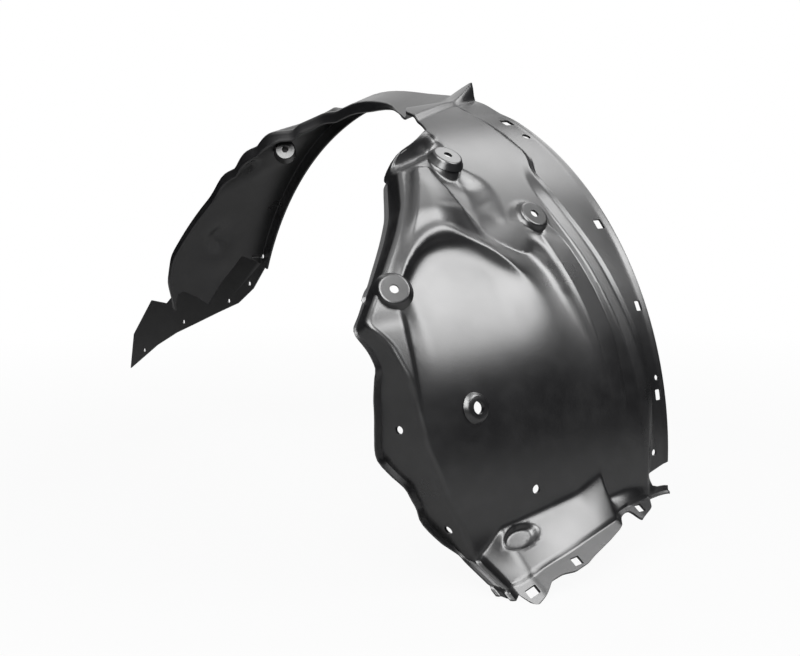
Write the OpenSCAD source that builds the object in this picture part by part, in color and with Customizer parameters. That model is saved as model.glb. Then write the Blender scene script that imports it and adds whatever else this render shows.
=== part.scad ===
// Front wheel arch liner, one thin moulded piece.
// Origin on the wheel axis, in the plane of the arch lip.
// X points to the deep side panel, Y outboard, Z up. Sizes in mm, angles in degrees.
// A place on the arch is an angle from straight up, positive towards X,
// and a reach: the distance inboard from the lip plane.

/* [Arch] */
// Radius of the arch lip at the deep panel
lip_r = 370; // [340:1:400]
// How far the corner of the front arm stands outside the lip
corner_rise = 17; // [10:1:22]
// Thickness of the moulded sheet
sheet = 2.5; // [2:0.1:3.5]
// Fall of the panel towards the inboard ridge
crown = 34; // [20:1:45]
// Reach at which the crown is measured
crown_reach = 340; // [300:5:380]
// Slope of the narrow top strip, fall over reach
strip_slope = 0.3; // [0.1:0.01:0.4]

/* [Ribs] */
// Height of the long outer rib
rib_h = 7; // [3:0.5:9]
// Width of the steep side of a rib, half that of its slope
rib_w = 5; // [4:0.5:7]
// Height of the inner rib beside it
rib2_h = 6; // [3:0.5:8]
// Step between the lip band and the panel
band_step = 3; // [1:0.5:5]

/* [Pressed forms] */
// Depth of the large pan under the arched ridge
pan_depth = 10; // [6:1:14]
// Height of the bead along the arched ridge
bead_h = 3; // [1:0.5:6]
// Height of the four-sided plateau above the pan
plateau_h = 9; // [4:1:14]
// Depth of the groove below the top pocket
groove_depth = 10; // [6:1:12]
// Fall from the outer panel to the lower panel between the bosses
terrace_h = 8; // [4:1:11]
// Height of the fin where the strip laps the panel
fin_h = 16; // [8:1:22]
// Height of the slanting humps on the front arm
hump_h = 8; // [3:1:12]
// Height of the round dome on the front arm
dome_h = 9; // [4:1:12]

/* [Side wall] */
// Radius of the bend into the side wall
bend_r = 7; // [5:0.5:9]
// Extra reach of the side wall at its free edge
wall_lean = 12; // [6:1:16]
// Width of the turned edge of the side wall
return_w = 7; // [4:0.5:10]

/* [Bottom ledge] */
// Width of the flap below the ledge, at its middle clip hole
flap_w = 24; // [20:1:30]
// Slope of the flap below the ledge
flap_tilt = 33; // [20:1:45]
// Side of a square clip hole in the flap
clip_hole = 10; // [6:0.5:11]

/* [Fixings] */
// Radius of the flat face of a fixing boss
boss_r = 15; // [12:0.5:17]
// Height of a fixing boss over the panel
boss_h = 4; // [3:0.5:7]
// Bore of the boss fixings
boss_bore = 9; // [6:0.5:11]
// Bore of the large hole in the panel
panel_bore = 13; // [9:0.5:14]
// Bore of the small fixing holes
small_bore = 7; // [5:0.5:9]

/* [Hidden] */
arc_mm = lip_r * PI / 180;
front_r = lip_r + corner_rise;
start_a = -75;
end_a = 95;
arm_blend = 25;
foot_blend = 20;
over = 40;
min_edge = 11;
plastic = [0.09, 0.09, 0.1];

function clamp(v, lo, hi) = max(lo, min(hi, v));
function ease(v) = let (c = clamp(v, 0, 1)) c * c * (3 - 2 * c);
function mix(a, b, t) = a + (b - a) * t;
function bump(d, w) = exp(-d * d / (w * w));

// Distance in mm from a place to a line between two places
function line_gap(a, w, p, q) =
    let (u = [(q[0] - p[0]) * arc_mm, q[1] - p[1]], v = [(a - p[0]) * arc_mm, w - p[1]],
         t = clamp((u * v) / (u * u), 0, 1))
    norm(v - t * u);

// Reach of the inboard ridge at each angle
function ridge_reach(a) = lookup(a, [
    [-75, 138], [-70, 152], [-64, 155], [-57, 139], [-50, 122], [-42, 102], [-33, 76], [-25, 45],
    [-18, 38], [-5, 45], [6, 76], [15, 126], [20, 129], [23, 136], [26.5, 170], [29.5, 208], [33, 220],
    [40, 243], [45, 266], [50, 292], [60, 342], [64, 326], [72, 312], [81, 305], [90, 285], [95, 268],
    [101, 249]]);

// Radius of the free edge of the side wall at each angle
function wall_edge_r(a) = lip_r - lookup(a, [
    [-75, -6], [27, -6], [31, 30], [34, 34], [45, 40], [59, 44], [67, 46],
    [72, 64], [78, 74], [83, 84], [86, 70], [88, 60], [92, 58], [95, 62], [97, 54], [99, 42], [101, 28]]);

// Share of a right angle by which the sheet bends down at the ridge: small in the bay
function wall_bend(a) = lookup(a, [[-12, 1], [-2, 0.3], [27, 0.3], [31, 1]]);

// Angle at which the front arm ends, by reach
function arm_end(w) = lookup(w, [[0, -68.5], [38, -66], [42, -66.5], [79, -76], [98, -74.2],
    [122, -72.5], [131, -73], [140, -76]]);

// Angle at which the panel folds into the ledge, by reach
function fold_angle(w) = lookup(w, [[0, 93], [60, 93], [90, 94], [99, 89.6], [130, 92],
    [163, 93.3], [226, 95.7], [236, 98.2], [249, 100.5]]);

// Front line of the ledge in X and Z, by reach
function ledge_x(w) = lip_r + lookup(w, [[0, -4], [30, 0], [60, 4], [88, 9], [100, 20],
    [226, 27], [249, 18]]);
function ledge_z(w) = lookup(w, [[0, -28], [60, -30], [88, -35], [100, -37], [163, -52],
    [226, -68], [249, -80]]);

// Width of the flap below the ledge: wide at its three clip holes
function flap_width(w) = flap_w * lookup(w, [[0, 0.15], [33, 0.15], [40, 0.6], [66, 0.96], [71, 0.26],
    [78, 0.2], [122, 0.63], [150, 0.83], [162, 0.96], [181, 0.96], [195, 0.75], [210, 0.72],
    [220, 1], [238, 1.3], [244, 0.35], [249, 0.17]]);

// Centre lines of the two ribs, by angle
function rib_line(a) = lookup(a, [[22, 48], [33, 46], [37, 64], [42, 70], [48, 64], [56, 52], [69, 37],
    [76, 31], [95, 31]]);
function rib2_line(a) = lookup(a, [[49, 95], [54, 88], [60, 80], [68, 72], [77, 69]]);

function rib_rise(a) = rib_h * lookup(a, [[34, 0], [42, 1], [68, 1], [78, 0.7], [88, 0]]);
function rib2_rise(a) = rib2_h * lookup(a, [[47, 0], [52, 1], [68, 1], [80, 0]]);
// A rib is steep on its outboard side and slopes on its inboard side
function rib_shape(d) = d < 0 ? ease(1 + d / rib_w) : 1 - ease(d / (2 * rib_w));
function ribs(a, w) = rib_rise(a) * rib_shape(w - rib_line(a) + 5)
    + rib2_rise(a) * rib_shape(w - rib2_line(a) + 5);
function band(a, w) = -band_step * ease((a - 12) / 6) * (1 - ease((w - rib_line(a) + 6) / 8));

// Corner radius of the arch: the front arm stands out, the deep panel follows the lip
function corner_r(a) = mix(front_r, lip_r, ease((a + 20) / 22));
function strip_fall(a, w) = strip_slope * w * ease((a + 36) / 12) * (1 - ease((a - 8) / 10));

// Fin: the strip climbs to a slanting line, then drops to the panel
function fin_line(w) = 9 + 0.066 * w;
function fin_rise(w) = 2 + fin_h * max(0, 1 - w / 50);
function fin(a, w) = let (d = a - fin_line(w))
    w > 134 ? 0 : fin_rise(w) * (d < 0 ? clamp(1 + d / 5, 0, 1) : clamp(1 - d / 1.3, 0, 1));

// Large pan with an arched upper edge
function pan_line(w) = 46.5 + 6 * pow((w - 222) / 62, 2);
function pan_span(w) = ease((w - 146) / 18) * (1 - ease((w - 282) / 16));
function pan(a, w) = let (d = (a - pan_line(w)) * arc_mm)
    pan_span(w) * (bead_h * bump(d + 6, 8) * (1 - ease((a - 54) / 5))
        - pan_depth * ease(d / 12) * (1 - ease((a - 52) / 22)));

// Plateau with four sides above the pan
function plateau(a, w) = let (left = 209 + (a - 34) * 4.1, right = 176 - (a - 34) * 1.4)
    plateau_h * ease((a - 32.5) / 2) * (1 - ease((a - 43.5) / 3))
    * ease((w - right) / 11) * (1 - ease((w - left + 6) / 10));

// Pocket at the top inboard corner: a raised box and a groove under it
function pocket(a, w) =
    6 * (1 - ease((line_gap(a, w, [27, 200], [24.5, 152]) - 4) / 14))
    - groove_depth * (1 - ease((line_gap(a, w, [31, 222], [27.6, 154]) - 1) / 15));

// Terrace: the panel drops inboard of a line that runs past the top and middle bosses
function terrace_line(a) = lookup(a, [[33, 148], [36, 137], [38, 127], [42, 124], [45, 129], [47, 131],
    [49, 122], [52, 104], [56, 97], [67, 82], [76, 72]]);
function terrace(a, w) = let (d = w - terrace_line(a))
    -terrace_h * lookup(a, [[33, 0], [36.5, 1], [48, 1], [56, 0.5], [67, 0.3], [77, 0]])
    * ease(d / 18) * (1 - ease((d - 22) / 60));

// Slanting humps and one dome on the front arm
HUMPS = [[[-24, 30], [-29, 58]], [[-30.5, 40], [-36.5, 84]], [[-37.5, 66], [-42.5, 104]],
    [[-43, 80], [-48.5, 122]]];
function arm_forms(a, w) = hump_h * max([for (h = HUMPS) bump(line_gap(a, w, h[0], h[1]), 9)])
    + dome_h * bump(line_gap(a, w, [-61.5, 84], [-61, 86]), 17)
    - 5 * ease((a + 72) / 6) * (1 - ease((a + 44) / 4)) * (1 - ease(abs(w - 70) / 60));

function relief(a, w) = ribs(a, w) + band(a, w) + fin(a, w) + pan(a, w) + plateau(a, w)
    + pocket(a, w) + terrace(a, w) + (a < -15 ? arm_forms(a, w) : 0);
function surface_r(a, w) = corner_r(a) - crown * pow(w / crown_reach, 2) - strip_fall(a, w) + relief(a, w);

// Columns of the sheet: flange, lip band, both ribs, panel, bend, side wall, turned edge
PANEL_STEPS = 15;
WALL_STEPS = 2;
function rib_scale(a) = min(1, ridge_reach(a) / 250);
function panel_reaches(a) =
    let (k = rib_scale(a), c1 = rib_line(a), c2 = rib2_line(a), far = ridge_reach(a) - bend_r)
    concat(
        [for (f = [0.04, 0.32, 0.66]) k * f * (c1 - 10)],
        [for (d = [-10, -5, 0, 5, 10]) k * (c1 + d)],
        [for (d = [-7, -1, 5, 11]) k * (c2 + d)],
        [for (i = [1:PANEL_STEPS]) mix(k * (c2 + 11), far, i / PANEL_STEPS)]);

function at(a, w, r) = [r * sin(a), -w, r * cos(a)];

// Side wall profile past the ridge: bend, straight wall, turned edge
function wall_profile(a) =
    let (far = ridge_reach(a) - bend_r, top = surface_r(a, far),
         low = min(top - min_edge, wall_edge_r(a)), drop = top - low, rb = min(bend_r, drop),
         k = wall_bend(a), side = mix(3, drop - rb, k), arc_r = rb / k,
         lean = wall_lean * clamp((drop - bend_r) / 40, 0, 1),
         turn = return_w * clamp((drop - bend_r) / 20, 0, 1),
         u = far + arc_r * sin(90 * k), v = top - arc_r * (1 - cos(90 * k)),
         du = side * cos(90 * k) + lean, dv = side * sin(90 * k))
    concat(
        [for (t = [30, 60, 90]) [far + arc_r * sin(t * k), top - arc_r * (1 - cos(t * k))]],
        [for (i = [1:WALL_STEPS]) [u + du * i / WALL_STEPS, v - dv * i / WALL_STEPS]],
        [[u + du + turn, v - dv - k * mix(sheet + 1.5, 0.5, turn / return_w)]]);

// The flange turns from radial on the front arm to level with the lip on the deep panel
function flange_drop(a) = mix(corner_rise, 0.5, ease((a + 14) / 16));

// Rows of the sheet: even steps in each stretch of the arch
STRETCHES = [[-75, -46, 8], [-46, -20, 11], [-20, 3, 5], [3, 20, 10], [20, 60, 19], [60, 95, 11]];
ROWS = concat([start_a], [for (s = STRETCHES) for (i = [1:s[2]]) mix(s[0], s[1], i / s[2])]);

// Rows bend to run along the groove and along the arched edge of the pan
function pan_skew(w) = min(6, 6 * pow((w - 222) / 62, 2))
    * ease((w - 60) / 90) * (1 - ease((w - 258) / 34));
function groove_skew(w) = 4.2 * clamp((w - 179) / 86, -0.6, 0.6);
function row_angle(base, w) = base
    + groove_skew(w) * max(0, 1 - abs(base - 29) / 8)
    + pan_skew(w) * max(0, 1 - abs(base - 46.5) / 15)
    + (arm_end(w) - start_a) * clamp((start_a + arm_blend - base) / arm_blend, 0, 1)
    + (fold_angle(w) - end_a) * clamp((base - end_a + foot_blend) / foot_blend, 0, 1);

// One row of points, from the flange to the turned edge
function row(base) =
    let (a0 = row_angle(base, 0), aw = row_angle(base, ridge_reach(base)), reaches = panel_reaches(aw))
    concat(
        [at(a0, 0, surface_r(a0, 0) - flange_drop(a0))],
        [for (w = reaches) let (a = row_angle(base, w)) at(a, w, surface_r(a, w))],
        [for (p = wall_profile(aw)) at(aw, p[0], p[1])]);

// Rows past the fold: the ledge face, then the flap.
// The side wall is carried along with the ridge that it hangs from.
LEDGE_STEPS = 3;
RIDGE_COLUMN = len(panel_reaches(0));
function ledge_move(last, j) = let (p = last[min(j, RIDGE_COLUMN)], w = -p[1])
    [max(ledge_x(w) - p[0], 1.5), 0, min(ledge_z(w) - p[2], -1.5)];
function ledge_row(last, t) = [for (j = [0:len(last) - 1]) last[j] + t * ledge_move(last, j)];
function flap_place(w, d) = [ledge_x(w) + d * cos(flap_tilt), -w, ledge_z(w) - d * sin(flap_tilt)];
function flap_row(last, t) = [for (j = [0:len(last) - 1]) let (w = -last[min(j, RIDGE_COLUMN)][1])
    last[j] + ledge_move(last, j) + t * (flap_place(w, flap_width(w)) - flap_place(w, 0))];

ARC_ROWS = [for (b = ROWS) row(b)];
LAST_ROW = ARC_ROWS[len(ARC_ROWS) - 1];
GRID = concat(ARC_ROWS,
    [for (i = [1:LEDGE_STEPS]) ledge_row(LAST_ROW, i / LEDGE_STEPS)],
    [for (t = [0.5, 1]) flap_row(LAST_ROW, t)]);

// Unit normal of the grid at a point, pointing to the hollow side
function grid_normal(g, i, j) =
    let (n = len(g) - 1, m = len(g[0]) - 1,
         u = g[min(i + 1, n)][j] - g[max(i - 1, 0)][j], v = g[i][min(j + 1, m)] - g[i][max(j - 1, 0)],
         c = cross(v, u))
    c / norm(c);

// Closed sheet of even thickness on a grid of points
module grid_sheet(g, t) {
    n = len(g) - 1;
    m = len(g[0]) - 1;
    size = (n + 1) * (m + 1);
    back = [for (i = [0:n]) [for (j = [0:m]) g[i][j] + t * grid_normal(g, i, j)]];
    points = [for (s = [g, back]) for (r = s) for (p = r) p];
    function id(s, i, j) = s * size + i * (m + 1) + j;
    function quad(a, b, c, d) = [[a, c, b], [a, d, c]];
    faces = [
        for (i = [0:n - 1]) for (j = [0:m - 1]) each concat(
            quad(id(0, i, j), id(0, i + 1, j), id(0, i + 1, j + 1), id(0, i, j + 1)),
            quad(id(1, i, j), id(1, i, j + 1), id(1, i + 1, j + 1), id(1, i + 1, j))),
        for (i = [0:n - 1]) each concat(
            quad(id(0, i, 0), id(1, i, 0), id(1, i + 1, 0), id(0, i + 1, 0)),
            quad(id(0, i, m), id(0, i + 1, m), id(1, i + 1, m), id(1, i, m))),
        for (j = [0:m - 1]) each concat(
            quad(id(0, 0, j), id(0, 0, j + 1), id(1, 0, j + 1), id(1, 0, j)),
            quad(id(0, n, j), id(1, n, j), id(1, n, j + 1), id(0, n, j + 1)))];
    polyhedron(points, faces, convexity = 10);
}

// Puts children at a place on the arch, with Z pointing out of it
module on_arch(a, w, r) {
    rotate([0, a, 0]) translate([0, -w, r]) children();
}

// Fixing bosses on the deep panel: angle and reach
BOSSES = [[32, 154], [46.7, 104], [55.5, 300.5]];
// Round holes with no boss: angle, reach, bore
ROUND_HOLES = [[90.2, 183, small_bore + 2], [26.8, 14, small_bore], [76.2, 8, small_bore - 1],
    [88.2, 20, small_bore], [-50, -9, small_bore - 1]];
// Slots in the lip band: angle, reach, width along the arch, width across it
SLOTS = [[21.5, 14, 11, 8], [49, 15, 11, 9], [64.2, 10, 11, 6], [79, 9, 11, 6]];
// Holes in the side wall: angle and radius
WALL_HOLES = [[77.6, 316], [95.8, 330]];
// Holes along the lower edge of the front plate, X and Z
PLATE_HOLES = [[-353, 152], [-386, 112], [-437, 83], [-555, 40], [-667, -16]];
// Square clip holes in the flap: reach, and place across the flap as a share of its width there
CLIPS = [[233, 0.6], [173, 0.7], [57, 0.55]];
cup_foot = 3.5;
cup_flare = 5;

function boss_height(b) = surface_r(b[0], b[1]);

module boss_body(b) {
    on_arch(b[0], b[1], boss_height(b) - cup_foot)
        cylinder(h = boss_h + cup_foot, r1 = boss_r + cup_flare, r2 = boss_r, $fn = 48);
}

// The hollow of a boss with its bore, as one turned shape
module boss_hollow(b) {
    foot = boss_r + cup_flare - sheet;
    on_arch(b[0], b[1], boss_height(b)) rotate_extrude($fn = 48) polygon([
        [0, -over / 2], [foot + 2, -over / 2], [foot, -cup_foot], [boss_r - sheet, boss_h - sheet],
        [boss_bore / 2, boss_h - sheet], [boss_bore / 2, over / 2], [0, over / 2]]);
}

// Low ring round the large hole in the pan
PAN_HOLE = [76, 245];
ring_r = 14;
ring_h = 4;
module pan_ring() {
    on_arch(PAN_HOLE[0], PAN_HOLE[1], surface_r(PAN_HOLE[0], PAN_HOLE[1]) - sheet / 2)
        cylinder(h = ring_h, r1 = ring_r, r2 = ring_r - 2, $fn = 48);
}

// Boss on the hollow side of the front arm, leaning inboard
ARM_BOSS = [-38, 47];
arm_boss_r = 13;
arm_boss_lean = 40;
module arm_boss_place() {
    on_arch(ARM_BOSS[0], ARM_BOSS[1], front_r) rotate([180 - arm_boss_lean, 0, 0]) children();
}

module arm_boss() {
    arm_boss_place() cylinder(h = 14, r1 = arm_boss_r + 2, r2 = arm_boss_r, $fn = 48);
}

// Plate that carries the front arm on to the bumper, in the plane of the lip
PLATE = concat(
    [[-709, -49], [-696, 5], [-642, 62], [-600, 62], [-560, 92], [-480, 130], [-400, 175]],
    [for (a = [-60:-2:-68]) [(front_r - 3) * sin(a), (front_r - 3) * cos(a)]],
    [[-346, 141], [-378, 106], [-415, 82], [-464, 64], [-524, 41], [-577, 21], [-631, -4]]);
plate_y = 0.3;
module front_plate() {
    translate([0, -plate_y, 0]) rotate([90, 0, 0])
        linear_extrude(sheet - 2 * plate_y) polygon(PLATE);
}

module square_hole(c) {
    translate(flap_place(c[0], c[1] * flap_width(c[0]))) rotate([0, flap_tilt, 0])
        cube([clip_hole, clip_hole, over], center = true);
}

module slot(s) {
    on_arch(s[0], s[1], surface_r(s[0], s[1])) cube([s[2], s[3], over], center = true);
}

// Notch between the foot of the lip and the flap
module lip_notch() {
    translate([lip_r - over, 0, 0]) rotate([90, 0, 90]) linear_extrude(2 * over)
        polygon([[5, 1], [-29, -10], [-22, -23], [-12, -26], [5, -26]]);
}

module arch_liner() {
    color(plastic) difference() {
        union() {
            grid_sheet(GRID, sheet);
            for (b = BOSSES) boss_body(b);
            pan_ring();
            arm_boss();
            front_plate();
        }
        for (b = BOSSES) boss_hollow(b);
        on_arch(PAN_HOLE[0], PAN_HOLE[1], lip_r - over) cylinder(h = 2 * over, d = panel_bore, $fn = 48);
        arm_boss_place() translate([0, 0, -over / 2]) cylinder(h = 2 * over, d = boss_bore - 1, $fn = 32);
        for (h = ROUND_HOLES) on_arch(h[0], h[1], lip_r - over) cylinder(h = 2 * over, d = h[2], $fn = 32);
        for (s = SLOTS) slot(s);
        for (h = WALL_HOLES) on_arch(h[0], ridge_reach(h[0]) + over, h[1])
            rotate([-90, 0, 0]) cylinder(h = 2 * over, d = small_bore + 1, $fn = 32);
        for (p = PLATE_HOLES) translate([p[0], over / 2, p[1]]) rotate([90, 0, 0])
            cylinder(h = over, d = small_bore - 1, $fn = 32);
        for (c = CLIPS) square_hole(c);
        lip_notch();
    }
}

arch_liner();
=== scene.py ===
"""Front wheel arch liner: one thin moulded sheet of black plastic.

The frame is in metres, with the wheel axis along Y through the origin and
the arch lip in the plane y = 0. X points to the deep side panel, Z up.
The sheet starts as a flat blank. Each point of the blank is carried to its
place on the arch, then the blank gets its thickness and its holes are cut.

A place on the arch is an angle a in degrees from straight up, a reach w in
mm inboard from the lip plane, and a radius r in mm from the wheel axis.
"""
import math

import bpy
import numpy as np
from mathutils import Matrix, Vector


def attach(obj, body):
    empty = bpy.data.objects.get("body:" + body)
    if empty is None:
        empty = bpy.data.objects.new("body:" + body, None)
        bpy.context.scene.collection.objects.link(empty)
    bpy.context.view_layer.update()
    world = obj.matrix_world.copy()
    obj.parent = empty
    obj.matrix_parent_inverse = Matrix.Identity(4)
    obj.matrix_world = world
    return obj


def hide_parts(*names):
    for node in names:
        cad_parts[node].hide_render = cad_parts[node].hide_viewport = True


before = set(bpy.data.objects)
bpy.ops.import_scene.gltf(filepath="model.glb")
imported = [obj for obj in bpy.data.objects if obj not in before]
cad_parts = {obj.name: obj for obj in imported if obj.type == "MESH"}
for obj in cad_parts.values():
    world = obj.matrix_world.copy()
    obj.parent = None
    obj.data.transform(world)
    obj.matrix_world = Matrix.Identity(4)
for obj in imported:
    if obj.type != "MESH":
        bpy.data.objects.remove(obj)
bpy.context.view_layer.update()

# Sizes in millimetres, angles in degrees. MM turns a size into metres.
MM = 0.001
LIP_R = 370.0
ARC_MM = LIP_R * math.pi / 180
CORNER_RISE = 17.0
FRONT_R = LIP_R + CORNER_RISE
SHEET = 2.5
CROWN, CROWN_REACH = 34.0, 340.0
START_A, END_A = -75.0, 95.0
ARM_BLEND, FOOT_BLEND = 25.0, 20.0

# Side wall below the bend. The bay has a plain edge in its place.
BEND_R, BAY_BEND_R = 7.0, 1.5
RIGHT_ANGLE = math.pi / 2
BAY_BEND, BAY_SIDE = 0.4, 0.5
WALL_LEAN, LEAN_HEIGHT = 12.0, 40
RETURN_W, RETURN_HEIGHT, RETURN_DROP = 7.0, 20, (SHEET + 1.5, 0.5)
MIN_EDGE = 11.0

# Bosses: angle, reach and lean of each, with one cup shape for all
BOSS_R, BOSS_H, BOSS_BORE = 15.0, 4.0, 9.0
CUP_FOOT, CUP_FLARE = 3.5, 5.0
BOSSES = [(32, 154, 0), (46.7, 104, 0), (55.5, 300.5, 22)]


# Small helpers on arrays
def clamp(v, lo, hi):
    return np.minimum(np.maximum(v, lo), hi)


def ease(v):
    c = clamp(v, 0.0, 1.0)
    return c * c * (3 - 2 * c)


def ramp(v, start, run):
    """0 up to the start, 1 past the run, straight between them."""
    return clamp((v - start) / run, 0.0, 1.0)


def rise(v, start, run):
    """0 up to the start, 1 past the run, eased between them."""
    return ease((v - start) / run)


def fall(v, start, run):
    return 1 - rise(v, start, run)


def mix(a, b, t):
    return a + (b - a) * t


def bump(d, width):
    return np.exp(-(d * d) / (width * width))


def look(v, pairs):
    return np.interp(v, [p[0] for p in pairs], [p[1] for p in pairs])


def smooth_look(v, pairs, spread=1.2):
    """A lookup with its corners rounded over a few degrees."""
    parts = [look(v + spread * k, pairs) for k in (-1.5, -0.75, 0.0, 0.75, 1.5)]
    return sum(parts) / len(parts)


def line_gap(a, w, p, q):
    """Distance in mm from a place (angle, reach) to a line between two places."""
    ux, uy = (q[0] - p[0]) * ARC_MM, q[1] - p[1]
    vx, vy = (a - p[0]) * ARC_MM, w - p[1]
    t = clamp((ux * vx + uy * vy) / (ux * ux + uy * uy), 0.0, 1.0)
    return np.hypot(vx - t * ux, vy - t * uy)


# Outlines of the arch by angle: reach of the ridge, and how far below the lip the wall ends
RIDGE = [(-75, 138), (-70, 152), (-64, 155), (-57, 139), (-50, 122), (-42, 102), (-33, 76),
         (-25, 45), (-18, 38), (-5, 45), (6, 76), (15, 126), (20, 129), (23, 136), (26.3, 168),
         (28.8, 209), (33, 220), (40, 243), (45, 266), (50, 292), (60, 342), (64, 326), (72, 312),
         (81, 305), (90, 285), (95, 268), (101, 249)]
WALL_EDGE = [(-75, -6), (28, -6), (30, 30), (34, 34), (45, 40), (59, 44), (67, 46), (72, 64),
             (78, 74), (83, 84), (86, 70), (88, 60), (92, 58), (95, 62), (97, 54), (99, 42),
             (101, 28)]
# Where the side wall hangs from the ridge: none in the bay
WALL_SHARE = [(-12, 1), (0, 0), (28, 0), (29.5, 1)]
# Outlines by reach: the arm's end and the fold as angles, the ledge's lower edge as x from the
# lip and as z, and the flap's width as a share
ARM_END = [(0, -68.5), (38, -66), (42, -66.5), (79, -76), (98, -74.2), (122, -72.5), (131, -73),
           (140, -76)]
FOLD = [(0, 93), (60, 93), (90, 94), (99, 89.6), (130, 92), (163, 93.3), (226, 95.7),
        (236, 98.2), (249, 100.5)]
LEDGE_X = [(0, -4), (30, 0), (60, 4), (88, 9), (100, 20), (226, 27), (249, 18)]
LEDGE_Z = [(0, -28), (60, -30), (88, -35), (100, -37), (163, -52), (226, -68), (249, -80)]
FLAP = [(0, 0.15), (33, 0.15), (40, 0.6), (66, 0.96), (71, 0.26), (78, 0.2), (122, 0.63),
        (150, 0.83), (162, 0.96), (181, 0.96), (195, 0.75), (210, 0.72), (220, 1), (238, 1.3),
        (244, 0.35), (249, 0.17)]


def ridge_reach(a):
    return smooth_look(a, RIDGE, 0.6)


def wall_edge_r(a):
    return LIP_R - smooth_look(a, WALL_EDGE, 0.5)


# Pressed forms of the sheet, each a height in mm over the plain arch. A name that ends in
# START, STOP, EDGE or FADE is where an ease begins and how far it runs.
RIB_LINE = [(22, 48), (33, 46), (37, 64), (42, 70), (48, 64), (56, 52), (69, 37), (76, 31), (95, 31)]
RIB2_LINE = [(49, 95), (54, 88), (60, 80), (68, 72), (77, 69)]
RIB_RISE = [(34, 0), (42, 1), (68, 1), (78, 0.7), (88, 0)]
RIB2_RISE = [(47, 0), (52, 1), (68, 1), (80, 0)]
RIB_H, RIB2_H, RIB_W, RIB_SLOPE, RIB_SHIFT = 10.0, 8.0, 4.5, 15.0, 5


def rib_shape(d):
    """Steep on the outboard side, a wide even slope on the inboard side."""
    return np.where(d < 0, ease(1 + d / RIB_W), 1 - clamp(d / RIB_SLOPE, 0, 1))


def ribs(a, w):
    long_rib = RIB_H * smooth_look(a, RIB_RISE) * rib_shape(w - smooth_look(a, RIB_LINE) + RIB_SHIFT)
    short_rib = RIB2_H * smooth_look(a, RIB2_RISE) * rib_shape(w - smooth_look(a, RIB2_LINE) + RIB_SHIFT)
    return long_rib + short_rib


LIP_BEAD_H, LIP_BEAD_AT, LIP_BEAD_W, LIP_BEAD_START = 1.6, 1, 3.5, (16, 6)
BAND_STEP, BAND_START, BAND_EDGE = 3.0, (12, 6), (-6, 8)


def band(a, w):
    """The band along the lip lies lower than the panel and ends in a bead."""
    bead = LIP_BEAD_H * bump(w - LIP_BEAD_AT, LIP_BEAD_W) * rise(a, *LIP_BEAD_START)
    return bead - BAND_STEP * rise(a, *BAND_START) * fall(w - smooth_look(a, RIB_LINE), *BAND_EDGE)


CORNER_STOP = (-20, 22)
STRIP_SLOPE, STRIP_START, STRIP_STOP = 0.3, (-36, 12), (4, 9)


def corner_r(a):
    return mix(FRONT_R, LIP_R, rise(a, *CORNER_STOP))


def strip_fall(a, w):
    return STRIP_SLOPE * w * rise(a, *STRIP_START) * fall(a, *STRIP_STOP)


# Fin across the strip, tall at the lip. It stands at an angle that grows with the reach.
FIN_H, FIN_LOW, FIN_TALL_W, FIN_CURVE = 16.0, 3.5, 40, 1.3
FIN_A, FIN_SKEW, FIN_FRONT, FIN_BACK, FIN_REACH = 9, 0.066, 5, 1.6, 134


def fin(a, w):
    d = a - (FIN_A + FIN_SKEW * w)
    height = FIN_LOW + FIN_H * np.maximum(0.0, 1 - w / FIN_TALL_W) ** FIN_CURVE
    slope = np.where(d < 0, clamp(1 + d / FIN_FRONT, 0, 1), 1 - ease(d / FIN_BACK))
    return np.where(w > FIN_REACH, 0.0, height * slope)


# Pan with an arched upper edge: the arch's top, and its fall in degrees at a distance in mm
PAN_TOP, PAN_ARCH, PAN_ARCH_W = (47.7, 222), 6, 62
PAN_DEPTH, PAN_RUN, PAN_START, PAN_STOP, PAN_FADE = 7.0, 34, (128, 56), (276, 26), (52, 22)
BEAD_H, BEAD_W, BEAD_BACK, BEAD_FADE = 3.0, 8, 6, (54, 5)
SHOULDER_LINE = [(56, 296), (63, 302), (70, 305), (77, 308)]
SHOULDER_H, SHOULDER_START, SHOULDER_STOP, SHOULDER_EDGE = 4.5, (57, 5), (74, 8), (-5, 10)


def pan(a, w):
    line = PAN_TOP[0] + PAN_ARCH * ((w - PAN_TOP[1]) / PAN_ARCH_W) ** 2
    span = rise(w, *PAN_START) * fall(w, *PAN_STOP)
    d = (a - line) * ARC_MM
    bead = BEAD_H * bump(d + BEAD_BACK, BEAD_W) * fall(a, *BEAD_FADE)
    sink = 1 - (1 - clamp(d / PAN_RUN, 0, 1)) ** 3
    return span * (bead - PAN_DEPTH * sink * fall(a, *PAN_FADE))


def pan_shoulder(a, w):
    """A short step between the pan and the side wall."""
    across = rise(w - look(a, SHOULDER_LINE), *SHOULDER_EDGE)
    return SHOULDER_H * rise(a, *SHOULDER_START) * fall(a, *SHOULDER_STOP) * across


# Plateau: its two sides lie at a reach at PLATEAU_A and move by mm for each degree
PLATEAU_H, PLATEAU_A = 9.0, 34
PLATEAU_LEFT, PLATEAU_LEFT_EDGE = (209, 4.1), (-4, 12)
PLATEAU_RIGHT, PLATEAU_RIGHT_EDGE = (176, -1.4), (0, 16)
PLATEAU_START, PLATEAU_END, PLATEAU_FADE = (32.3, 2), 50, (0, 8)


def plateau(a, w):
    left = PLATEAU_LEFT[0] + (a - PLATEAU_A) * PLATEAU_LEFT[1]
    right = PLATEAU_RIGHT[0] + (a - PLATEAU_A) * PLATEAU_RIGHT[1]
    across = np.minimum(ramp(w - right, *PLATEAU_RIGHT_EDGE), ramp(left - w, *PLATEAU_LEFT_EDGE))
    along = np.minimum(ramp(a, *PLATEAU_START), ramp(PLATEAU_END - a, *PLATEAU_FADE))
    return PLATEAU_H * ease(across) * ease(along)


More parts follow.
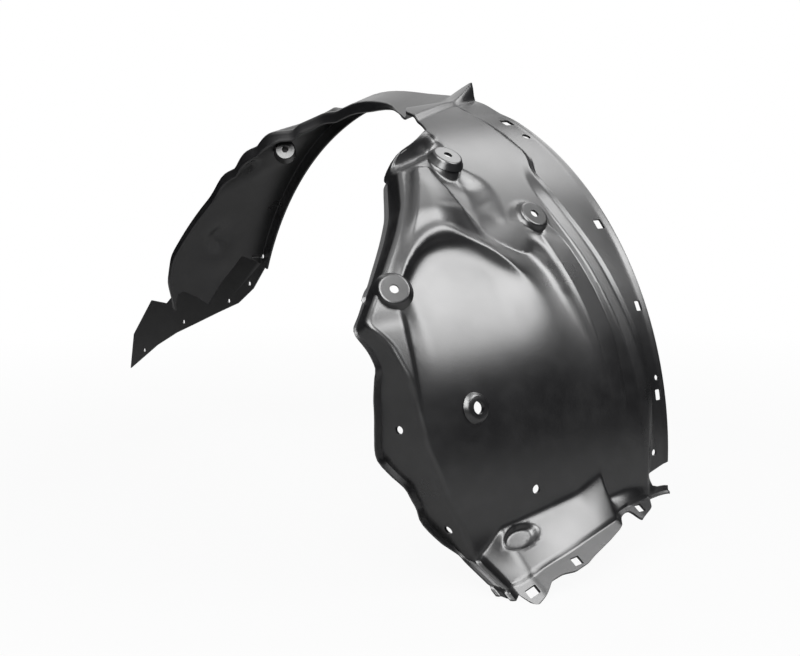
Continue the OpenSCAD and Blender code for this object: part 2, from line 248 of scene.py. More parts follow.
# Pocket above the top boss: a raised box and a groove, each along a line between two places
POCKET_LINE, POCKET_H, POCKET_EDGE = ((27, 200), (24.5, 152)), 6, (4, 14)
GROOVE_LINE, GROOVE_DEPTH, GROOVE_EDGE = ((31, 222), (27.6, 154)), 10.0, (1, 15)


def pocket(a, w):
    box = POCKET_H * fall(line_gap(a, w, *POCKET_LINE), *POCKET_EDGE)
    return box - GROOVE_DEPTH * fall(line_gap(a, w, *GROOVE_LINE), *GROOVE_EDGE)


TERRACE_LINE = [(33, 148), (36, 137), (38, 127), (42, 124), (45, 129), (47, 131), (49, 122), (52, 104),
                (56, 97), (67, 82), (76, 72)]
TERRACE_RUN = [(34, 12), (42, 34), (48, 26), (56, 18)]
TERRACE_FALL = [(33, 0), (36.5, 1), (48, 1), (56, 0.5), (67, 0.3), (77, 0)]
TERRACE_H, TERRACE_RETURN = 11.0, 60


def terrace(a, w):
    """The panel drops inboard of a line that runs past the top and middle bosses."""
    d = w - smooth_look(a, TERRACE_LINE, 0.8)
    run = look(a, TERRACE_RUN)
    return -TERRACE_H * smooth_look(a, TERRACE_FALL) * ease(d / run) * fall(d, run, TERRACE_RETURN)


# Front arm: slanting humps, one round dome and a shallow hollow, as far as ARM_LIMIT
HUMPS = [((-24, 30), (-29, 58)), ((-30.5, 40), (-36.5, 84)), ((-37.5, 66), (-42.5, 104)),
         ((-43, 80), (-48.5, 122))]
HUMP_H, HUMP_W = 8.0, 9
DOME, DOME_H, DOME_W = ((-61.5, 84), (-61, 86)), 9.0, 17
HOLLOW_DEPTH, HOLLOW_START, HOLLOW_STOP = 5, (-72, 6), (-44, 4)
HOLLOW_REACH, HOLLOW_EDGE = 70, (0, 60)
ARM_LIMIT = -15


def arm_forms(a, w):
    humps = HUMP_H * np.maximum.reduce([bump(line_gap(a, w, p, q), HUMP_W) for p, q in HUMPS])
    dome = DOME_H * bump(line_gap(a, w, *DOME), DOME_W)
    across = fall(np.abs(w - HOLLOW_REACH), *HOLLOW_EDGE)
    hollow = HOLLOW_DEPTH * rise(a, *HOLLOW_START) * fall(a, *HOLLOW_STOP) * across
    return np.where(a < ARM_LIMIT, humps + dome - hollow, 0.0)


# Cones that carry the bosses up out of the terrace: angle, reach, radius at the top, slope.
# Past CONE_END, toward the ridge, each mm counts as CONE_PINCH mm more of distance.
CONES = [(32, 154, 15.0, 1.1), (46.7, 104, 16.0, 0.46), (55.5, 300.5, 15.0, 1.3)]
CONE_END, CONE_PINCH, CONE_BELOW = 306.0, 2, 1


def plain_r(a, w):
    return corner_r(a) - CROWN * (w / CROWN_REACH) ** 2 - strip_fall(a, w)


def surface_r(a, w):
    """Radius of the outer face at an angle and a reach."""
    r = (plain_r(a, w) + ribs(a, w) + band(a, w) + fin(a, w) + pan(a, w) + pan_shoulder(a, w)
         + plateau(a, w) + pocket(a, w) + terrace(a, w) + arm_forms(a, w))
    for at_a, at_w, top, slope in CONES:
        away = np.hypot((a - at_a) * ARC_MM, w - at_w) + CONE_PINCH * np.maximum(0.0, w - CONE_END)
        peak = plain_r(at_a, at_w) + BOSS_H - CONE_BELOW
        r = np.maximum(r, peak - slope * np.maximum(away - top, 0.0))
    return r


# The blank: rows run along the arch, columns across it. A row stop is a row and its angle.
ROW_STOPS = [(0, -75), (30, -46), (66, -20), (76, 3), (112, 20), (204, 60), (250, 95)]
ARC_ROWS, LEDGE_ROWS, FLAP_ROWS = 250, 16, 10
FLANGE, CORNER, PANEL, BEND, WALL, TURN = 4, 3, 100, 6, 8, 3
PANEL_COLUMN = FLANGE + CORNER
RIDGE_COLUMN = PANEL_COLUMN + PANEL
WALL_COLUMN = RIDGE_COLUMN + BEND
TURN_COLUMN = WALL_COLUMN + WALL
ROWS = ARC_ROWS + LEDGE_ROWS + FLAP_ROWS
COLUMNS = TURN_COLUMN + TURN
REFINED_FACES, SMOOTH_ANGLE = 3200, 38
CORNER_R = 3.0
FLANGE_LOW, FLANGE_STOP = 0.5, (-14, 16)
# Shares of the panel's columns that end before and after each rib, the room before and after a
# rib, and the reach of a panel that is wide enough to give the ribs' columns their whole room
COLUMN_STOPS, RIB_ROOM, PANEL_FULL = (0.13, 0.31, 0.34, 0.49), (12, 10), 245


def flange_drop(a):
    return mix(CORNER_RISE, FLANGE_LOW, rise(a, *FLANGE_STOP))


def soft_step(s, k):
    """Zero below 0 and s above it, with the corner rounded over about k."""
    return k * np.logaddexp(0.0, s / k)


def panel_reach(a, t, far):
    """Reach of the panel's columns, which run along both ribs and lie close together there."""
    share = np.minimum(1.0, far / PANEL_FULL)
    rib, rib2 = smooth_look(a, RIB_LINE), smooth_look(a, RIB2_LINE)
    before, after = RIB_ROOM
    places = [share * place for place in (rib - before, rib + after, rib2 - before, rib2 + after)]
    stops = [(0.0, CORNER_R * 0.9)] + list(zip(COLUMN_STOPS, places)) + [(1.0, far)]
    w = stops[0][1]
    for (t0, w0), (t1, w1) in zip(stops, stops[1:]):
        w = w + (w1 - w0) * clamp((t - t0) / (t1 - t0), 0.0, 1.0)
    return w


def row_angle(base, reach):
    """Angle of a row at a reach. The end rows lean to the arm's end and to the fold."""
    start = clamp((START_A + ARM_BLEND - base) / ARM_BLEND, 0.0, 1.0)
    foot = clamp((base - END_A + FOOT_BLEND) / FOOT_BLEND, 0.0, 1.0)
    end = look(reach, ARM_END) - START_A
    fold = smooth_look(reach, FOLD, 2.0) - END_A
    return base + end * start + fold * foot


def lip_flange(column, a, w, r):
    """The first columns are the lip's flange and its rounded corner with the strip."""
    drop = flange_drop(a)
    rc = np.minimum(CORNER_R, drop)
    down = clamp(column / FLANGE, 0.0, 1.0)
    flange_r = r - drop + (drop - rc) * down
    turn = clamp((column - FLANGE) / CORNER, 0.0, 1.0) * RIGHT_ANGLE
    corner_w = rc * (1 - np.cos(turn))
    round_r = r - rc + rc * np.sin(turn)
    w = np.where(column <= FLANGE, 0.0, np.where(column < PANEL_COLUMN, corner_w, w))
    r = np.where(column <= FLANGE, flange_r, np.where(column < PANEL_COLUMN, round_r, r))
    return w, r


def side_wall(column, edge_a, far, share, bend_r, place):
    """The last columns hang from the ridge: a bend, a straight wall and a turned edge."""
    a, w, r = place
    top = surface_r(edge_a, far)
    height = top - np.minimum(top - MIN_EDGE, wall_edge_r(edge_a))
    bend = mix(BAY_BEND, 1.0, share) * RIGHT_ANGLE
    arc_r = np.minimum(bend_r, height)
    lean = WALL_LEAN * clamp((height - BEND_R) / LEAN_HEIGHT, 0, 1)
    turn_w = RETURN_W * clamp((height - BEND_R) / RETURN_HEIGHT, 0, 1)
    side = mix(BAY_SIDE, height - arc_r, share)
    wall_w, wall_r = far + arc_r * np.sin(bend), top - arc_r * (1 - np.cos(bend))
    out_w, drop = side * np.cos(bend) + lean * share, side * np.sin(bend)
    turn_w = turn_w * share
    q = clamp((column - RIDGE_COLUMN) / BEND, 0.0, 1.0) * bend
    past = column > RIDGE_COLUMN
    a = np.where(past, edge_a, a)
    w = np.where(past, far + arc_r * np.sin(q), w)
    r = np.where(past, top - arc_r * (1 - np.cos(q)), r)
    down = clamp((column - WALL_COLUMN) / WALL, 0.0, 1.0)
    wall = column > WALL_COLUMN
    w = np.where(wall, wall_w + out_w * down, w)
    r = np.where(wall, wall_r - drop * down, r)
    out = clamp((column - TURN_COLUMN) / TURN, 0.0, 1.0)
    edge = column > TURN_COLUMN
    w = np.where(edge, wall_w + out_w + turn_w * out, w)
    r = np.where(edge, wall_r - drop - share * mix(*RETURN_DROP, turn_w / RETURN_W) * out, r)
    return a, w, r


def arch_place(base, column):
    """Angle, reach and radius of a blank point, before the ledge is folded."""
    t = clamp((column - PANEL_COLUMN) / PANEL, 0.0, 1.0)
    # The reach of the ridge and the angle of a row depend on each other
    far = ridge_reach(base) - BEND_R
    edge_a = row_angle(base, far + BEND_R)
    share = smooth_look(edge_a, WALL_SHARE, 0.4)
    bend_r = mix(BAY_BEND_R, BEND_R, share)
    far = ridge_reach(edge_a) - bend_r
    w = np.where(column < PANEL_COLUMN, 0.0, panel_reach(base, t, far))
    a = row_angle(base, w)
    w, r = lip_flange(column, a, w, surface_r(a, w))
    return side_wall(column, edge_a, far, share, bend_r, (a, w, r))


# Ledge and flap. The dimple: reach, place across the ledge, half length, half width as a share
LEDGE_MIN, FOLD_R = 1.5, 2.2
DIMPLE, DIMPLE_DEPTH, DIMPLE_EDGE, DIMPLE_WAY = (210.0, 0.31, 21.0, 0.25), 5.0, 1.6, (0.64, 0.77)
STEP_DOWN, STEP_RUN = 2.5, 0.15
FLAP_W, FLAP_MIN, FLAP_TILT = 24.0, 3.0, math.radians(33)


def blank_to_arch(row, column):
    """Carries blank points to X, Y, Z in mm, with the ledge and its flap folded."""
    ha, hw, hr = arch_place(np.full_like(row, END_A), np.minimum(column, RIDGE_COLUMN))
    hx, hz = hr * np.sin(np.radians(ha)), hr * np.cos(np.radians(ha))
    dx = np.maximum(LIP_R + smooth_look(hw, LEDGE_X, 2.0) - hx, LEDGE_MIN)
    dz = np.minimum(smooth_look(hw, LEDGE_Z, 2.0) - hz, -LEDGE_MIN)
    span = np.hypot(dx, dz)
    # Way past the fold in mm, negative on the arch, with the fold rounded
    base = look(row, ROW_STOPS)
    past = clamp((row - ARC_ROWS) / LEDGE_ROWS, 0.0, 1.0)
    way = np.where(row <= ARC_ROWS, (base - END_A) * ARC_MM, span * past)
    base = END_A - soft_step(-way, FOLD_R) / ARC_MM
    t = np.minimum(soft_step(way, FOLD_R), span) / span
    a, w, r = arch_place(base, column)
    x, z = r * np.sin(np.radians(a)), r * np.cos(np.radians(a))
    # Round dimple pressed into the ledge
    lens = clamp(1 - ((hw - DIMPLE[0]) / DIMPLE[2]) ** 2 - ((t - DIMPLE[1]) / DIMPLE[3]) ** 2, 0, 1)
    sink = DIMPLE_DEPTH * ease(lens * DIMPLE_EDGE) * (past > 0)
    x, z = x + dx * t - DIMPLE_WAY[0] * sink, z + dz * t - DIMPLE_WAY[1] * sink
    # A small step down from the ledge, then the scalloped flap
    out = clamp((row - ARC_ROWS - LEDGE_ROWS) / FLAP_ROWS, 0.0, 1.0)
    step = STEP_DOWN * ease(out / STEP_RUN)
    way = np.maximum(FLAP_W * smooth_look(hw, FLAP, 1.5), FLAP_MIN) * out
    return x + way * math.cos(FLAP_TILT), -w, z - way * math.sin(FLAP_TILT) - step


# Modelling steps, as by hand
def only(piece):
    bpy.ops.object.select_all(action="DESELECT")
    piece.select_set(True)
    bpy.context.view_layer.objects.active = piece


def called(name):
    piece = bpy.context.object
    piece.name = name
    piece.data.name = name
    return piece


def get_points(piece):
    co = np.empty(len(piece.data.vertices) * 3)
    piece.data.vertices.foreach_get("co", co)
    return co.reshape(-1, 3)


def set_points(piece, co):
    piece.data.vertices.foreach_set("co", np.ascontiguousarray(co).ravel())
    piece.data.update()


def moved(piece, place):
    piece.data.transform(place)
    piece.data.update()
    return piece


def finish_with(piece, kind, **settings):
    """Adds one modifier and applies it."""
    only(piece)
    step = piece.modifiers.new(kind.lower(), kind)
    for key, value in settings.items():
        setattr(step, key, value)
    bpy.ops.object.modifier_apply(modifier=step.name)
    return piece


def arch_point(a, w, r):
    a = math.radians(a)
    return Vector((r * math.sin(a), -w, r * math.cos(a))) * MM


def arch_frame(a, w, r, lean=0.0):
    """Placement with Z pointing out of the arch, leaned inboard where asked."""
    out = Matrix.Rotation(math.radians(a), 4, "Y")
    return Matrix.Translation(arch_point(a, w, r)) @ out @ Matrix.Rotation(math.radians(lean), 4, "X")


def height_at(a, w):
    return float(surface_r(np.array([float(a)]), np.array([float(w)]))[0])


def refine_bends(sheet, count):
    """Subdivides the blank's faces where the pressed sheet bends most."""
    centre = np.empty(len(sheet.data.polygons) * 3)
    sheet.data.polygons.foreach_get("center", centre)
    centre = centre.reshape(-1, 3)
    row, column = (centre[:, 0] + 0.5) * ROWS, (centre[:, 1] + 0.5) * COLUMNS

    def at(rows_on, columns_on):
        place = blank_to_arch(clamp(row + rows_on, 0, ROWS), clamp(column + columns_on, 0, COLUMNS))
        return np.stack(place, -1)

    middle = at(0, 0)
    bend = (np.linalg.norm(at(1, 0) + at(-1, 0) - 2 * middle, axis=1)
            + np.linalg.norm(at(0, 1) + at(0, -1) - 2 * middle, axis=1))
    bend[(column < PANEL_COLUMN) | (column > RIDGE_COLUMN)] = 0
    limit = np.sort(bend)[-count]
    only(sheet)
    bpy.ops.object.mode_set(mode="EDIT")
    bpy.ops.mesh.select_all(action="DESELECT")
    bpy.ops.object.mode_set(mode="OBJECT")
    sheet.data.polygons.foreach_set("select", bend >= limit)
    bpy.ops.object.mode_set(mode="EDIT")
    bpy.ops.mesh.subdivide(number_cuts=1)
    bpy.ops.object.mode_set(mode="OBJECT")


def press_sheet():
    """The blank, pressed to the arch and given its thickness."""
    bpy.ops.mesh.primitive_grid_add(x_subdivisions=ROWS, y_subdivisions=COLUMNS, size=1.0)
    sheet = called("liner_moulding")
    refine_bends(sheet, REFINED_FACES)
    co = get_points(sheet)
    x, y, z = blank_to_arch((co[:, 0] + 0.5) * ROWS, (co[:, 1] + 0.5) * COLUMNS)
    set_points(sheet, np.stack([x, y, z], -1) * MM)
    only(sheet)
    bpy.ops.object.mode_set(mode="EDIT")
    bpy.ops.mesh.select_all(action="SELECT")
    bpy.ops.mesh.flip_normals()
    bpy.ops.object.mode_set(mode="OBJECT")
    return finish_with(sheet, "SOLIDIFY", thickness=SHEET * MM, offset=-1.0)


def spun(name, profile, place, steps=64):
    """A solid turned from a closed profile of (radius, height) in mm."""
    mesh = bpy.data.meshes.new(name)
    points = [(r * MM, 0.0, h * MM) for r, h in profile]
    mesh.from_pydata(points, [(i, (i + 1) % len(points)) for i in range(len(points))], [])
    piece = bpy.data.objects.new(name, mesh)
    bpy.context.collection.objects.link(piece)
    only(piece)
    bpy.ops.object.mode_set(mode="EDIT")
    bpy.ops.mesh.select_all(action="SELECT")
    bpy.ops.mesh.spin(steps=steps, angle=2 * math.pi, center=(0, 0, 0), axis=(0, 0, 1))
    bpy.ops.mesh.select_all(action="SELECT")
    bpy.ops.mesh.remove_doubles(threshold=1e-6)
    bpy.ops.mesh.delete_loose()
    bpy.ops.mesh.select_all(action="SELECT")
    bpy.ops.mesh.normals_make_consistent(inside=False)
    bpy.ops.object.mode_set(mode="OBJECT")
    return moved(piece, place)


def rod(name, radius, length, place, sides=48):
    bpy.ops.object.select_all(action="DESELECT")
    bpy.ops.mesh.primitive_cylinder_add(vertices=sides, radius=radius * MM, depth=length * MM)
    return moved(called(name), place)


def block(name, size, place, round_r):
    bpy.ops.object.select_all(action="DESELECT")
    bpy.ops.mesh.primitive_cube_add(size=1.0)
    piece = called(name)
    moved(piece, Matrix.Diagonal((size[0] * MM, size[1] * MM, size[2] * MM, 1)))
    finish_with(piece, "BEVEL", width=round_r * MM, segments=3, limit_method="NONE")
    return moved(piece, place)


def flat_plate(name, outline, thickness, place):
    """A plate from an outline in mm, extruded to its thickness."""
    mesh = bpy.data.meshes.new(name)
    mesh.from_pydata([(x * MM, 0.0, z * MM) for x, z in outline], [], [range(len(outline))])
    piece = bpy.data.objects.new(name, mesh)
    bpy.context.collection.objects.link(piece)
    only(piece)
    bpy.ops.object.mode_set(mode="EDIT")
    bpy.ops.mesh.select_all(action="SELECT")
    bpy.ops.mesh.extrude_region_move(TRANSFORM_OT_translate={"value": (0, -thickness * MM, 0)})
    bpy.ops.mesh.select_all(action="SELECT")
    bpy.ops.mesh.normals_make_consistent(inside=False)
    bpy.ops.object.mode_set(mode="OBJECT")
    return moved(piece, place)


def combine(piece, others, operation):
    """Joins or cuts with other solids, which are used up."""
    for other in others:
        finish_with(piece, "BOOLEAN", operation=operation, object=other, solver="MANIFOLD")
        bpy.data.objects.remove(other)
    return piece


# Profiles turned round an axis, as (radius, height)
CUP = [(0.0, -CUP_FOOT), (BOSS_R + CUP_FLARE, -CUP_FOOT), (BOSS_R + 1.2, BOSS_H - 2.0),
       (BOSS_R + 0.4, BOSS_H - 0.6), (BOSS_R - 1.0, BOSS_H), (BOSS_R - 2.2, BOSS_H), (0.0, BOSS_H)]
CUP_HOLLOW = [(0.0, -9), (BOSS_R - 1.5, -9), (BOSS_R - SHEET, BOSS_H - SHEET),
              (BOSS_BORE / 2, BOSS_H - SHEET), (BOSS_BORE / 2, 20), (0.0, 20)]
PAN_HOLE, PAN_BORE, RING_R, RING_H = (76, 245), 13.0, 14.0, 4.0
PAN_RING = [(0, 0), (RING_R + 2, 0), (RING_R - 1, RING_H - 0.8), (RING_R - 3, RING_H), (0, RING_H)]
# Boss of the front arm. It sits below the face and turns inboard, toward the deep panel.
ARM_BOSS, ARM_BOSS_BELOW, ARM_BOSS_AXIS = (-37.5, 52), 12, (0.79, -0.56, 0.24)
ARM_BOSS_R, ARM_BOSS_H, ARM_BOSS_FOOT = 12.0, 14, -8
ARM_CUP = [(0, ARM_BOSS_FOOT), (ARM_BOSS_R + 2, ARM_BOSS_FOOT), (ARM_BOSS_R + 0.4, ARM_BOSS_H - 1.2),
           (ARM_BOSS_R - 0.8, ARM_BOSS_H), (ARM_BOSS_R - 2, ARM_BOSS_H), (0, ARM_BOSS_H)]

# Holes: angle, reach and bore; slots: angle, reach, size along and across
LONG_CUT, MIDDLE_CUT, SHORT_CUT = 80, 40, 30
ROUND_HOLES = [(90.2, 183, 9), (26.8, 14, 9.5), (76.2, 8, 6), (88.2, 20, 7), (-50, -9, 6)]
SLOTS, SLOT_ROUND = [(21.5, 14, 13, 13), (49, 15, 12, 11), (64.2, 10, 11, 8), (79, 9, 11, 8)], 1.2
# Holes of the side wall by angle and radius, and of the front plate by x and z
WALL_HOLES, WALL_HOLE_R = [(77.6, 316), (95.8, 330)], 4
PLATE_HOLES, PLATE_HOLE_R = [(-353, 152), (-386, 112), (-437, 83), (-555, 40), (-667, -16)], 3
# Square clip holes of the flap: reach and place across it
CLIPS, CLIP_HOLE, CLIP_ROUND = [(233, 0.6), (173, 0.7), (57, 0.55)], 10.0, 0.6
# Notch at the lip's end: its outline in y and z, cut from LIP_NOTCH_X on
LIP_NOTCH, LIP_NOTCH_X = [(5, 1), (-29, -10), (-22, -23), (-12, -26), (5, -26)], 330

# Front plate: straight edges, and an arc below the arm's face that joins them
PLATE_TOP = [(-709, -49), (-696, 5), (-642, 62), (-600, 62), (-560, 92), (-480, 130), (-400, 175)]
PLATE_ARC_R = FRONT_R - 3
PLATE_ARC = [(PLATE_ARC_R * math.sin(math.radians(a)), PLATE_ARC_R * math.cos(math.radians(a)))
             for a in (-60, -62, -64, -66, -68)]
PLATE_LOW = [(-346, 141), (-378, 106), (-415, 82), (-464, 64), (-524, 41), (-577, 21), (-631, -4)]
PLATE_Y = 0.3


def boss_frame(place):
    a, w, lean = place
    return arch_frame(a, w, height_at(a, w), lean)


def arm_boss_frame():
    turn = Vector(ARM_BOSS_AXIS).to_track_quat("Z", "Y").to_matrix().to_4x4()
    foot = arch_point(ARM_BOSS[0], ARM_BOSS[1], FRONT_R - ARM_BOSS_BELOW)
    return Matrix.Translation(foot) @ turn


def clip_frame(reach, share):
    """Placement of a square clip hole, flat on the flap."""
    way = share * FLAP_W * float(look(reach, FLAP))
    x = LIP_R + float(look(reach, LEDGE_X)) + way * math.cos(FLAP_TILT)
    z = float(look(reach, LEDGE_Z)) - way * math.sin(FLAP_TILT)
    return Matrix.Translation(Vector((x, -reach, z)) * MM) @ Matrix.Rotation(FLAP_TILT, 4, "Y")


def sideways(place):
    """Turns a cutter's axis to run across the arch."""
    return place @ Matrix.Rotation(math.radians(90), 4, "X")


def added_solids():
    """Everything that the moulding carries besides the pressed sheet."""
    solids = [spun("cup_%d" % i, CUP, boss_frame(place)) for i, place in enumerate(BOSSES)]
    a, w = PAN_HOLE
    solids.append(spun("pan_ring", PAN_RING, arch_frame(a, w, height_at(a, w) - SHEET / 2)))
    solids.append(spun("arm_boss", ARM_CUP, arm_boss_frame()))
    solids.append(flat_plate("front_plate", PLATE_TOP + PLATE_ARC + PLATE_LOW, SHEET - 2 * PLATE_Y,
                             Matrix.Translation((0, -PLATE_Y * MM, 0))))
    return solids


def hole_cutters():
    """Every bore, slot and notch of the moulding."""
    cutters = [spun("cup_hollow_%d" % i, CUP_HOLLOW, boss_frame(place)) for i, place in enumerate(BOSSES)]
    a, w = PAN_HOLE
    cutters.append(rod("pan_bore", PAN_BORE / 2, LONG_CUT, arch_frame(a, w, LIP_R)))
    cutters.append(rod("arm_bore", (BOSS_BORE - 1) / 2, SHORT_CUT, arm_boss_frame()))
    for i, (a, w, bore) in enumerate(ROUND_HOLES):
        cutters.append(rod("hole_%d" % i, bore / 2, LONG_CUT, arch_frame(a, w, LIP_R)))
    for i, (a, w, along, across) in enumerate(SLOTS):
        size = (along, across, MIDDLE_CUT)
        cutters.append(block("slot_%d" % i, size, arch_frame(a, w, height_at(a, w)), SLOT_ROUND))
    for i, (a, r) in enumerate(WALL_HOLES):
        far = float(ridge_reach(np.array([float(a)]))[0])
        cutters.append(rod("wall_hole_%d" % i, WALL_HOLE_R, LONG_CUT, sideways(arch_frame(a, far, r))))
    for i, (x, z) in enumerate(PLATE_HOLES):
        place = sideways(Matrix.Translation(Vector((x, 0, z)) * MM))
        cutters.append(rod("plate_hole_%d" % i, PLATE_HOLE_R, MIDDLE_CUT, place, 32))
    for i, (reach, share) in enumerate(CLIPS):
        size = (CLIP_HOLE, CLIP_HOLE, SHORT_CUT)
        cutters.append(block("clip_hole_%d" % i, size, clip_frame(reach, share), CLIP_ROUND))
    place = Matrix.Translation((LIP_NOTCH_X * MM, 0, 0)) @ Matrix.Rotation(math.radians(90), 4, "Z")
    cutters.append(flat_plate("lip_notch", LIP_NOTCH, LONG_CUT, place))
    return cutters


# Black moulded plastic: near black, satin, with a fine grain and soft scuffs
def plain_noise(tree, place, scale, detail):
    """Noise that keeps its place on the piece."""
    noise = tree.nodes.new("ShaderNodeTexNoise")
    noise.inputs["Scale"].default_value = scale
    noise.inputs["Detail"].default_value = detail
    tree.links.new(place.outputs["Object"], noise.inputs["Vector"])
    return noise.outputs["Fac"]


def uneven_gloss(tree, place, shader):
    """Broad soft variation of the gloss, as cooling and handling leave it."""
    clouds = plain_noise(tree, place, 14.0, 4.0)
    gloss = tree.nodes.new("ShaderNodeMapRange")
    gloss.inputs["From Min"].default_value = 0.3
    gloss.inputs["From Max"].default_value = 0.7
    gloss.inputs["To Min"].default_value = 0.27
    gloss.inputs["To Max"].default_value = 0.35
    tree.links.new(clouds, gloss.inputs["Value"])
    tree.links.new(gloss.outputs["Result"], shader.inputs["Roughness"])


def mould_grain(tree, place, shader):
    grain = plain_noise(tree, place, 900.0, 2.0)
    relief = tree.nodes.new("ShaderNodeBump")
    relief.inputs["Strength"].default_value = 0.12
    relief.inputs["Distance"].default_value = 0.0004
    tree.links.new(grain, relief.inputs["Height"])
    tree.links.new(relief.outputs["Normal"], shader.inputs["Normal"])


def scuffed_black(tree, place, shader):
    """Slightly greyer where the surface is scuffed."""
    scuffs = plain_noise(tree, place, 55.0, 6.0)
    shade = tree.nodes.new("ShaderNodeValToRGB")
    clean, scuffed = shade.color_ramp.elements
    clean.position, clean.color = 0.45, (0.005, 0.005, 0.0055, 1)
    scuffed.position, scuffed.color = 0.75, (0.009, 0.009, 0.0095, 1)
    tree.links.new(scuffs, shade.inputs["Fac"])
    tree.links.new(shade.outputs["Color"], shader.inputs["Base Color"])


def moulded_plastic():
    material = bpy.data.materials.new("moulded_plastic")
    material.use_nodes = True
    tree = material.node_tree
    shader = tree.nodes["Principled BSDF"]
    shader.inputs["IOR"].default_value = 1.72
    place = tree.nodes.new("ShaderNodeTexCoord")
    uneven_gloss(tree, place, shader)
    mould_grain(tree, place, shader)
    scuffed_black(tree, place, shader)
    return material


def build_liner():
    liner = press_sheet()
    combine(liner, added_solids(), "UNION")
    combine(liner, hole_cutters(), "DIFFERENCE")
    only(liner)
    bpy.ops.object.shade_smooth_by_angle(angle=math.radians(SMOOTH_ANGLE))
    liner.data.materials.clear()
    liner.data.materials.append(moulded_plastic())
    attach(liner, "root")
    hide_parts("arch_liner")


# Studio, in metres. The camera's place, lens and shift are those of the photograph.
AZIMUTH, ELEVATION, DISTANCE = math.radians(49.06), math.radians(11.612), 2.0
FOCAL_PX, ORIGIN_PX, IMAGE = 1660.0, (436.16, 406.95), (800, 656)
SENSOR = 36.0
FLOOR_Z, FLOOR_SIZE, FLOOR_GREY = -0.0925, 12.0, 0.25
CLOTH_R, CLOTH_H, CLOTH_GREY = 4.5, 5.0, 0.01
# Each softbox: name, place, what it faces, size, power in watts
SOFTBOXES = [("key", (1.22, 0.55, 1.45), (0.1, -0.1, 0.1), (0.9, 0.9), 26),
             ("over", (0.72, -0.92, 1.7), (0.1, -0.1, 0.1), (1.3, 0.9), 31),
             ("front", (1.32, -1.16, 1.1), (0.1, -0.1, 0.1), (0.8, 0.95), 29),
             ("top", (-0.12, 1.0, 1.66), (0.1, -0.1, 0.1), (0.9, 0.9), 10),
             ("left", (-1.4, 0.9, 1.1), (0, -0.1, 0.3), (1.2, 1.2), 4.8)]


def camera():
    data = bpy.data.cameras.new("camera")
    eye = bpy.data.objects.new("camera", data)
    bpy.context.collection.objects.link(eye)
    back = Vector((math.sin(AZIMUTH) * math.cos(ELEVATION),
                   -math.cos(AZIMUTH) * math.cos(ELEVATION), math.sin(ELEVATION)))
    eye.location = back * DISTANCE
    eye.rotation_euler = (-back).to_track_quat("-Z", "Y").to_euler()
    data.sensor_width = SENSOR
    data.lens = FOCAL_PX * SENSOR / IMAGE[0]
    data.shift_x = (IMAGE[0] / 2 - ORIGIN_PX[0]) / IMAGE[0]
    data.shift_y = (ORIGIN_PX[1] - IMAGE[1] / 2) / IMAGE[0]
    data.clip_start, data.clip_end = 0.05, 50.0
    bpy.context.scene.camera = eye


def softbox(name, place, target, size, power):
    data = bpy.data.lights.new(name, "AREA")
    data.shape = "RECTANGLE"
    data.size, data.size_y = size
    data.energy = power
    lamp = bpy.data.objects.new(name, data)
    bpy.context.collection.objects.link(lamp)
    lamp.location = place
    lamp.rotation_euler = (Vector(target) - Vector(place)).to_track_quat("-Z", "Y").to_euler()


def either(tree, first, second):
    """1 where one of two ray types is 1."""
    seen = tree.nodes.new("ShaderNodeMath")
    seen.operation = "MAXIMUM"
    tree.links.new(first, seen.inputs[0])
    tree.links.new(second, seen.inputs[1])
    return seen.outputs["Value"]


def white_where_seen(tree, lit, strength, in_gloss=True):
    """White where the camera, glass or, if asked, gloss sees it, and the lit shader for the rest."""
    rays = tree.nodes.new("ShaderNodeLightPath")
    seen = either(tree, rays.outputs["Is Camera Ray"], rays.outputs["Is Transmission Ray"])
    if in_gloss:
        seen = either(tree, seen, rays.outputs["Is Glossy Ray"])
    share = tree.nodes.new("ShaderNodeMath")
    share.operation = "MULTIPLY"
    tree.links.new(seen, share.inputs[0])
    tree.links.new(strength, share.inputs[1])
    white = tree.nodes.new("ShaderNodeEmission")
    white.inputs["Color"].default_value = (1, 1, 1, 1)
    white.inputs["Strength"].default_value = 1.0
    pick = tree.nodes.new("ShaderNodeMixShader")
    tree.links.new(share.outputs["Value"], pick.inputs["Fac"])
    tree.links.new(lit, pick.inputs[1])
    tree.links.new(white.outputs["Emission"], pick.inputs[2])
    return pick.outputs["Shader"]


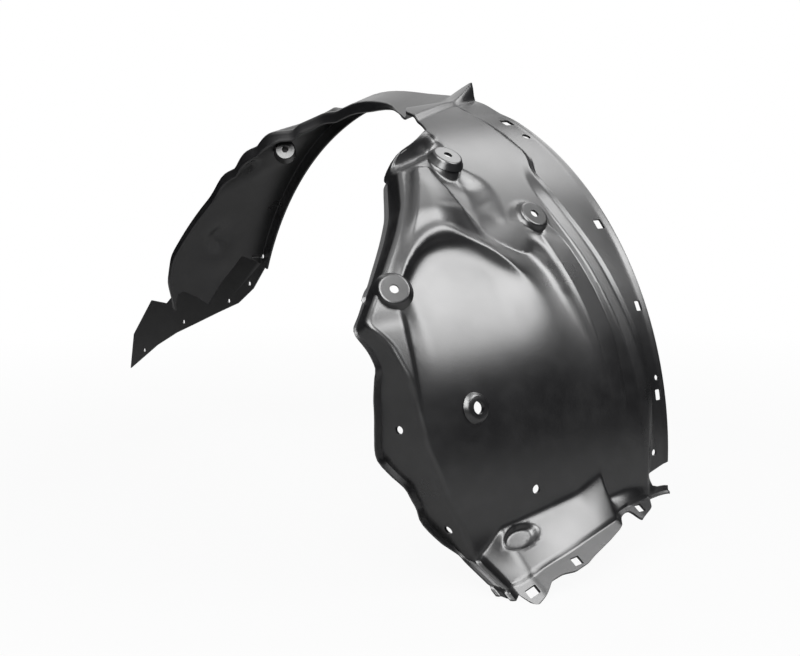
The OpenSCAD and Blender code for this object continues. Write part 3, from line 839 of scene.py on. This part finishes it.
def white_world():
    world = bpy.data.worlds.new("studio")
    bpy.context.scene.world = world
    world.use_nodes = True
    tree = world.node_tree
    fill = tree.nodes["Background"]
    fill.inputs["Color"].default_value = (1, 1, 1, 1)
    fill.inputs["Strength"].default_value = 0.1
    whole = tree.nodes.new("ShaderNodeValue")
    whole.outputs["Value"].default_value = 1.0
    shader = white_where_seen(tree, fill.outputs["Background"], whole.outputs["Value"])
    tree.links.new(shader, tree.nodes["World Output"].inputs["Surface"])


def floor_white():
    """The floor shows its shadow near the object and fades into the backdrop farther off."""
    material = bpy.data.materials.new("floor_white")
    material.use_nodes = True
    tree = material.node_tree
    lit = tree.nodes["Principled BSDF"]
    lit.inputs["Base Color"].default_value = (FLOOR_GREY, FLOOR_GREY, FLOOR_GREY, 1)
    lit.inputs["Roughness"].default_value = 0.9
    spot = tree.nodes.new("ShaderNodeTexCoord")
    far = tree.nodes.new("ShaderNodeVectorMath")
    far.operation = "LENGTH"
    tree.links.new(spot.outputs["Object"], far.inputs[0])
    fade = tree.nodes.new("ShaderNodeMapRange")
    fade.inputs["From Min"].default_value = 0.5
    fade.inputs["From Max"].default_value = 1.3
    fade.inputs["To Min"].default_value = 0.94
    fade.inputs["To Max"].default_value = 1.0
    tree.links.new(far.outputs["Value"], fade.inputs["Value"])
    shader = white_where_seen(tree, lit.outputs["BSDF"], fade.outputs["Result"], in_gloss=False)
    tree.links.new(shader, tree.nodes["Material Output"].inputs["Surface"])
    return material


def dark_cloth():
    """Cloth round the set, out of the camera's sight, keeps the sides of the gloss deep."""
    bpy.ops.mesh.primitive_cylinder_add(vertices=48, radius=CLOTH_R, depth=CLOTH_H,
                                        end_fill_type="NOTHING", location=(0, 0, FLOOR_Z + CLOTH_H / 2))
    cloth = called("dark_cloth")
    cloth.visible_camera = False
    cloth.visible_shadow = False
    dark = bpy.data.materials.new("dark_cloth")
    dark.use_nodes = True
    shader = dark.node_tree.nodes["Principled BSDF"]
    shader.inputs["Base Color"].default_value = (CLOTH_GREY, CLOTH_GREY, CLOTH_GREY, 1)
    shader.inputs["Roughness"].default_value = 1.0
    cloth.data.materials.append(dark)


def studio():
    white_world()
    bpy.ops.mesh.primitive_plane_add(size=FLOOR_SIZE, location=(0, 0, FLOOR_Z))
    floor = called("floor")
    floor.data.materials.append(floor_white())
    dark_cloth()
    for box in SOFTBOXES:
        softbox(*box)


build_liner()
studio()
camera()
bpy.context.scene.view_settings.view_transform = "Standard"
